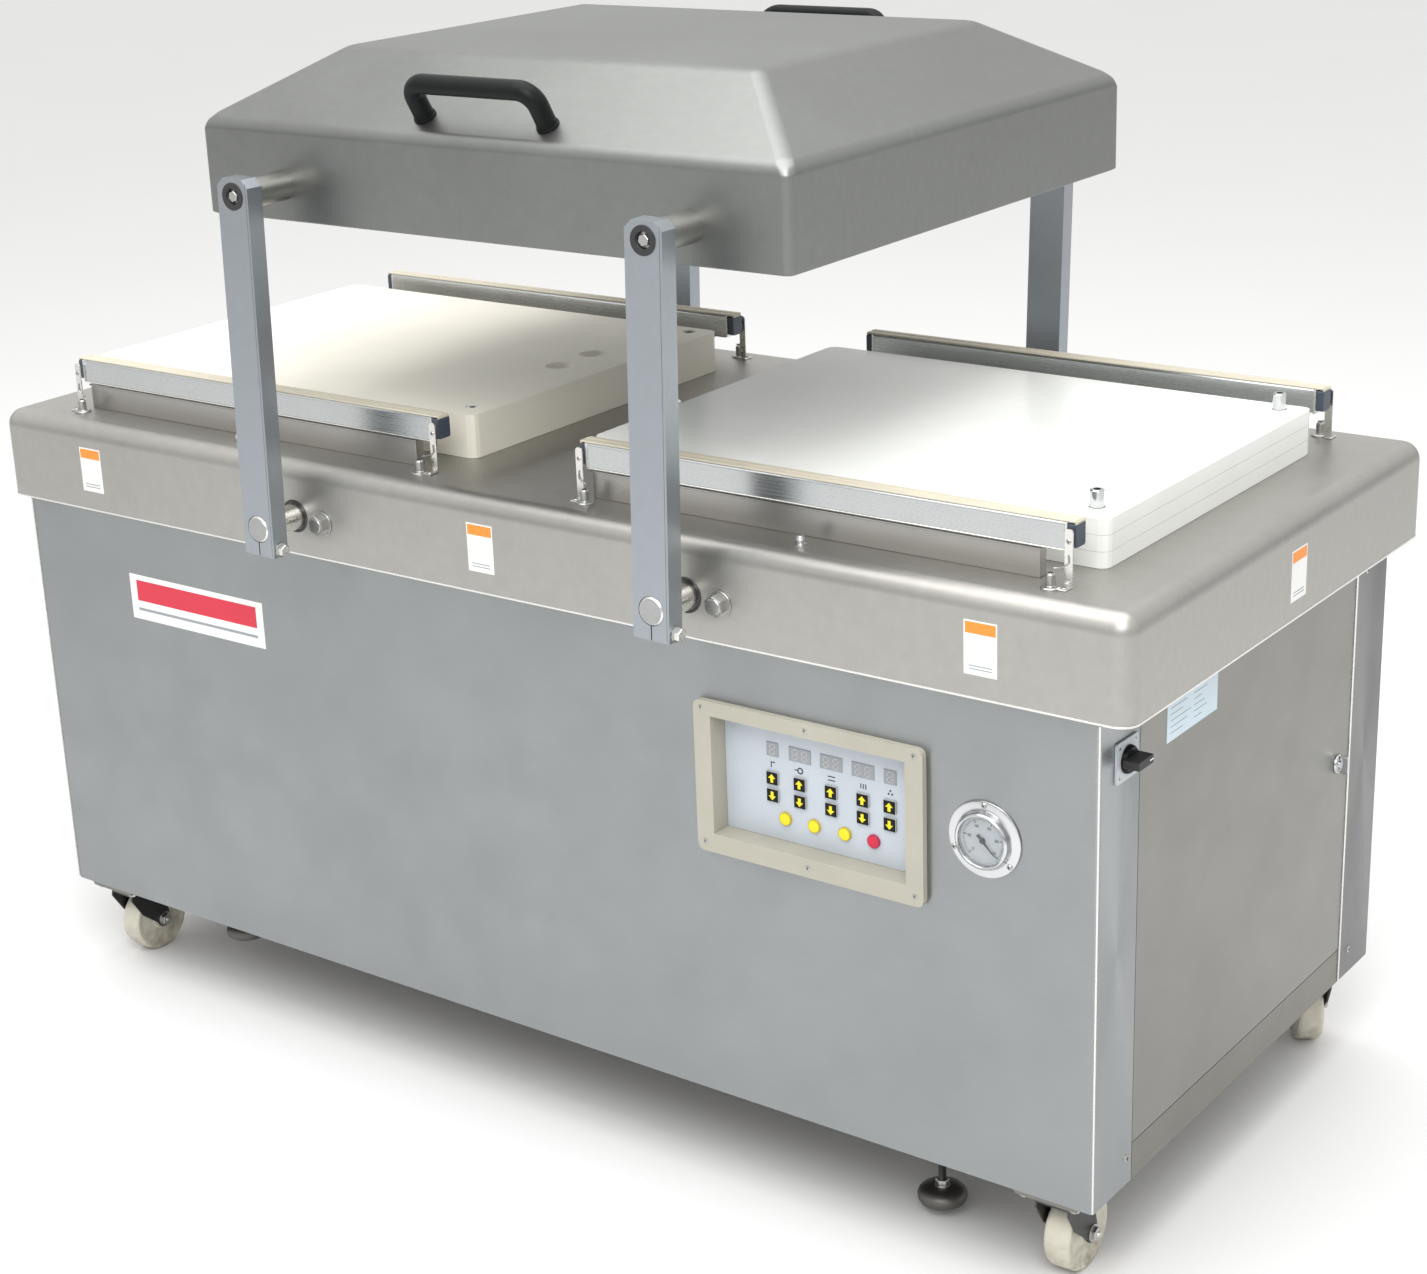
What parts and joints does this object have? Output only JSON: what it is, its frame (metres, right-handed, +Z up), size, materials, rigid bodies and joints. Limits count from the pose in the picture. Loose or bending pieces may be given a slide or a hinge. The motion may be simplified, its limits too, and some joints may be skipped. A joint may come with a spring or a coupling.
{
  "type": "double chamber vacuum sealer",
  "caption": "Vacuum packaging machine on casters: a steel cabinet and deck, with a domed lid that swings level from chamber to chamber on parallel arms.",
  "frame": {"origin": "on the floor, under the middle of the deck", "axes": "+X along the machine to the operator's right, +Y from the operator's side to the rear, +Z up"},
  "size_m": [1.8, 0.937, 1.377],
  "materials": {
    "satin_stainless": "satin",
    "brushed_panel": "satin",
    "anodised_aluminium": "satin",
    "polished_steel": "polished",
    "white_board": "satin",
    "beige_plastic": "satin",
    "black_plastic": "gloss",
    "yellow_plastic": "satin",
    "red_plastic": "satin",
    "grey_plastic": "satin",
    "dark_rubber": "matte",
    "nylon_wheel": "satin",
    "pump_paint": "satin"
  },
  "bodies": {
    "base": {"base_pan": "brushed_panel", "front_panel": "brushed_panel", "rear_panel": "brushed_panel", "left_side_panel": "brushed_panel", "cable_gland": "black_plastic", "vacuum_pump": "pump_paint", "deck": "satin_stainless", "right_filler_board_lower": "white_board", "right_filler_board_middle": "white_board", "right_filler_board_upper": "white_board", "left_filler_board": "white_board", "control_housing": "beige_plastic", "gauge_body": "polished_steel", "switch_plate": "grey_plastic"},
    "left_arms": {"arm_front_left": "anodised_aluminium", "arm_rear_left": "anodised_aluminium", "swing_shaft_left": "polished_steel"},
    "right_arms": {"arm_front_right": "anodised_aluminium", "arm_rear_right": "anodised_aluminium", "swing_shaft_right": "polished_steel"},
    "lid": {"lid_shell": "satin_stainless", "lid_gasket": "dark_rubber", "counter_bar_front": "anodised_aluminium", "counter_bar_rear": "anodised_aluminium", "lid_handle_front": "black_plastic", "lid_handle_rear": "black_plastic"},
    "side_door": {"side_door": "brushed_panel"},
    "door_latch": {"door_latch": "polished_steel"},
    "seal_bar_front_left": {"seal_bar_front_left": "anodised_aluminium"},
    "seal_bar_front_right": {"seal_bar_front_right": "anodised_aluminium"},
    "seal_bar_rear_left": {"seal_bar_rear_left": "anodised_aluminium"},
    "seal_bar_rear_right": {"seal_bar_rear_right": "anodised_aluminium"},
    "key_up_1": {"key_up_1": "black_plastic"},
    "key_up_2": {"key_up_2": "black_plastic"},
    "key_up_3": {"key_up_3": "black_plastic"},
    "key_up_4": {"key_up_4": "black_plastic"},
    "key_up_5": {"key_up_5": "black_plastic"},
    "key_down_1": {"key_down_1": "black_plastic"},
    "key_down_2": {"key_down_2": "black_plastic"},
    "key_down_3": {"key_down_3": "black_plastic"},
    "key_down_4": {"key_down_4": "black_plastic"},
    "key_down_5": {"key_down_5": "black_plastic"},
    "key_start": {"key_start": "yellow_plastic"},
    "key_program": {"key_program": "yellow_plastic"},
    "key_air": {"key_air": "yellow_plastic"},
    "key_stop": {"key_stop": "red_plastic"},
    "gauge_needle": {"gauge_needle": "black_plastic"},
    "switch_knob": {"switch_knob": "black_plastic"},
    "caster_fork_front_left": {"caster_fork_front_left": "polished_steel"},
    "caster_wheel_front_left": {"caster_wheel_front_left": "nylon_wheel"},
    "levelling_foot_front_left": {"levelling_foot_front_left": "dark_rubber"},
    "caster_fork_front_right": {"caster_fork_front_right": "polished_steel"},
    "caster_wheel_front_right": {"caster_wheel_front_right": "nylon_wheel"},
    "levelling_foot_front_right": {"levelling_foot_front_right": "dark_rubber"},
    "caster_fork_rear_left": {"caster_fork_rear_left": "polished_steel"},
    "caster_wheel_rear_left": {"caster_wheel_rear_left": "nylon_wheel"},
    "levelling_foot_rear_left": {"levelling_foot_rear_left": "dark_rubber"},
    "caster_fork_rear_right": {"caster_fork_rear_right": "polished_steel"},
    "caster_wheel_rear_right": {"caster_wheel_rear_right": "nylon_wheel"},
    "levelling_foot_rear_right": {"levelling_foot_rear_right": "dark_rubber"}
  },
  "joints": [
    {"name": "lid_swing", "type": "hinge", "parent": "base", "child": "left_arms", "pos_m": [-0.3196, 0, 0.786], "axis": [0, 1, 0], "range_deg": [-75.8, 72.6], "stiffness_Nm_per_rad": 200, "springref_deg": -1.15},
    {"name": "right_arm_swing", "type": "hinge", "parent": "base", "child": "right_arms", "pos_m": [0.3196, 0, 0.786], "axis": [0, 1, 0], "range_deg": [-75.8, 72.6]},
    {"name": "lid_level", "type": "hinge", "parent": "left_arms", "child": "lid", "pos_m": [-0.3077, 0, 1.2184], "axis": [0, 1, 0], "range_deg": [-72.6, 75.8]},
    {"name": "door_hinge", "type": "hinge", "parent": "base", "child": "side_door", "pos_m": [0.862, -0.3005, 0.455], "axis": [0, 0, -1], "range_deg": [0, 100]},
    {"name": "latch_turn", "type": "hinge", "parent": "side_door", "child": "door_latch", "pos_m": [0.862, 0.254, 0.457], "axis": [1, 0, 0], "range_deg": [0, 90]},
    {"name": "seal_bar_front_left_lift", "type": "slide", "parent": "base", "child": "seal_bar_front_left", "axis": [0, 0, 1], "range_m": [0, 0.008]},
    {"name": "seal_bar_front_right_lift", "type": "slide", "parent": "base", "child": "seal_bar_front_right", "axis": [0, 0, 1], "range_m": [0, 0.008]},
    {"name": "seal_bar_rear_left_lift", "type": "slide", "parent": "base", "child": "seal_bar_rear_left", "axis": [0, 0, 1], "range_m": [0, 0.008]},
    {"name": "seal_bar_rear_right_lift", "type": "slide", "parent": "base", "child": "seal_bar_rear_right", "axis": [0, 0, 1], "range_m": [0, 0.008]},
    {"name": "key_up_1_press", "type": "slide", "parent": "base", "child": "key_up_1", "axis": [0, 1, 0], "range_m": [0, 0.001], "stiffness_N_per_m": 800},
    {"name": "key_up_2_press", "type": "slide", "parent": "base", "child": "key_up_2", "axis": [0, 1, 0], "range_m": [0, 0.001], "stiffness_N_per_m": 800},
    {"name": "key_up_3_press", "type": "slide", "parent": "base", "child": "key_up_3", "axis": [0, 1, 0], "range_m": [0, 0.001], "stiffness_N_per_m": 800},
    {"name": "key_up_4_press", "type": "slide", "parent": "base", "child": "key_up_4", "axis": [0, 1, 0], "range_m": [0, 0.001], "stiffness_N_per_m": 800},
    {"name": "key_up_5_press", "type": "slide", "parent": "base", "child": "key_up_5", "axis": [0, 1, 0], "range_m": [0, 0.001], "stiffness_N_per_m": 800},
    {"name": "key_down_1_press", "type": "slide", "parent": "base", "child": "key_down_1", "axis": [0, 1, 0], "range_m": [0, 0.001], "stiffness_N_per_m": 800},
    {"name": "key_down_2_press", "type": "slide", "parent": "base", "child": "key_down_2", "axis": [0, 1, 0], "range_m": [0, 0.001], "stiffness_N_per_m": 800},
    {"name": "key_down_3_press", "type": "slide", "parent": "base", "child": "key_down_3", "axis": [0, 1, 0], "range_m": [0, 0.001], "stiffness_N_per_m": 800},
    {"name": "key_down_4_press", "type": "slide", "parent": "base", "child": "key_down_4", "axis": [0, 1, 0], "range_m": [0, 0.001], "stiffness_N_per_m": 800},
    {"name": "key_down_5_press", "type": "slide", "parent": "base", "child": "key_down_5", "axis": [0, 1, 0], "range_m": [0, 0.001], "stiffness_N_per_m": 800},
    {"name": "key_start_press", "type": "slide", "parent": "base", "child": "key_start", "axis": [0, 1, 0], "range_m": [0, 0.001], "stiffness_N_per_m": 800},
    {"name": "key_program_press", "type": "slide", "parent": "base", "child": "key_program", "axis": [0, 1, 0], "range_m": [0, 0.001], "stiffness_N_per_m": 800},
    {"name": "key_air_press", "type": "slide", "parent": "base", "child": "key_air", "axis": [0, 1, 0], "range_m": [0, 0.001], "stiffness_N_per_m": 800},
    {"name": "key_stop_press", "type": "slide", "parent": "base", "child": "key_stop", "axis": [0, 1, 0], "range_m": [0, 0.001], "stiffness_N_per_m": 800},
    {"name": "needle_turn", "type": "hinge", "parent": "base", "child": "gauge_needle", "pos_m": [0.721, -0.394, 0.566], "axis": [0, 1, 0], "range_deg": [-270, 0], "stiffness_Nm_per_rad": 0.002},
    {"name": "switch_turn", "type": "hinge", "parent": "base", "child": "switch_knob", "pos_m": [0.862, -0.336, 0.673], "axis": [1, 0, 0], "range_deg": [0, 90]},
    {"name": "caster_swivel_front_left", "type": "hinge", "parent": "base", "child": "caster_fork_front_left", "pos_m": [-0.797, -0.347, 0.12], "axis": [0, 0, 1], "continuous": true},
    {"name": "wheel_roll_front_left", "type": "hinge", "parent": "caster_fork_front_left", "child": "caster_wheel_front_left", "pos_m": [-0.797, -0.313, 0.05], "axis": [1, 0, 0], "continuous": true},
    {"name": "foot_screw_front_left", "type": "slide", "parent": "base", "child": "levelling_foot_front_left", "axis": [0, 0, 1], "range_m": [-0.075, 0]},
    {"name": "caster_swivel_front_right", "type": "hinge", "parent": "base", "child": "caster_fork_front_right", "pos_m": [0.797, -0.347, 0.12], "axis": [0, 0, 1], "continuous": true},
    {"name": "wheel_roll_front_right", "type": "hinge", "parent": "caster_fork_front_right", "child": "caster_wheel_front_right", "pos_m": [0.797, -0.313, 0.05], "axis": [1, 0, 0], "continuous": true},
    {"name": "foot_screw_front_right", "type": "slide", "parent": "base", "child": "levelling_foot_front_right", "axis": [0, 0, 1], "range_m": [-0.028, 0.047]},
    {"name": "caster_swivel_rear_left", "type": "hinge", "parent": "base", "child": "caster_fork_rear_left", "pos_m": [-0.81, 0.326, 0.12], "axis": [0, 0, 1], "continuous": true},
    {"name": "wheel_roll_rear_left", "type": "hinge", "parent": "caster_fork_rear_left", "child": "caster_wheel_rear_left", "pos_m": [-0.81, 0.36, 0.05], "axis": [1, 0, 0], "continuous": true},
    {"name": "foot_screw_rear_left", "type": "slide", "parent": "base", "child": "levelling_foot_rear_left", "axis": [0, 0, 1], "range_m": [-0.075, 0]},
    {"name": "caster_swivel_rear_right", "type": "hinge", "parent": "base", "child": "caster_fork_rear_right", "pos_m": [0.81, 0.326, 0.12], "axis": [0, 0, 1], "continuous": true},
    {"name": "wheel_roll_rear_right", "type": "hinge", "parent": "caster_fork_rear_right", "child": "caster_wheel_rear_right", "pos_m": [0.7905, 0.35385, 0.05], "axis": [0.8192, 0.5736, 0], "continuous": true},
    {"name": "foot_screw_rear_right", "type": "slide", "parent": "base", "child": "levelling_foot_rear_right", "axis": [0, 0, 1], "range_m": [-0.075, 0]}
  ],
  "couplings": [
    {"joint": "right_arm_swing", "follows": "lid_swing", "ratio": 1},
    {"joint": "lid_level", "follows": "lid_swing", "ratio": -1}
  ]
}
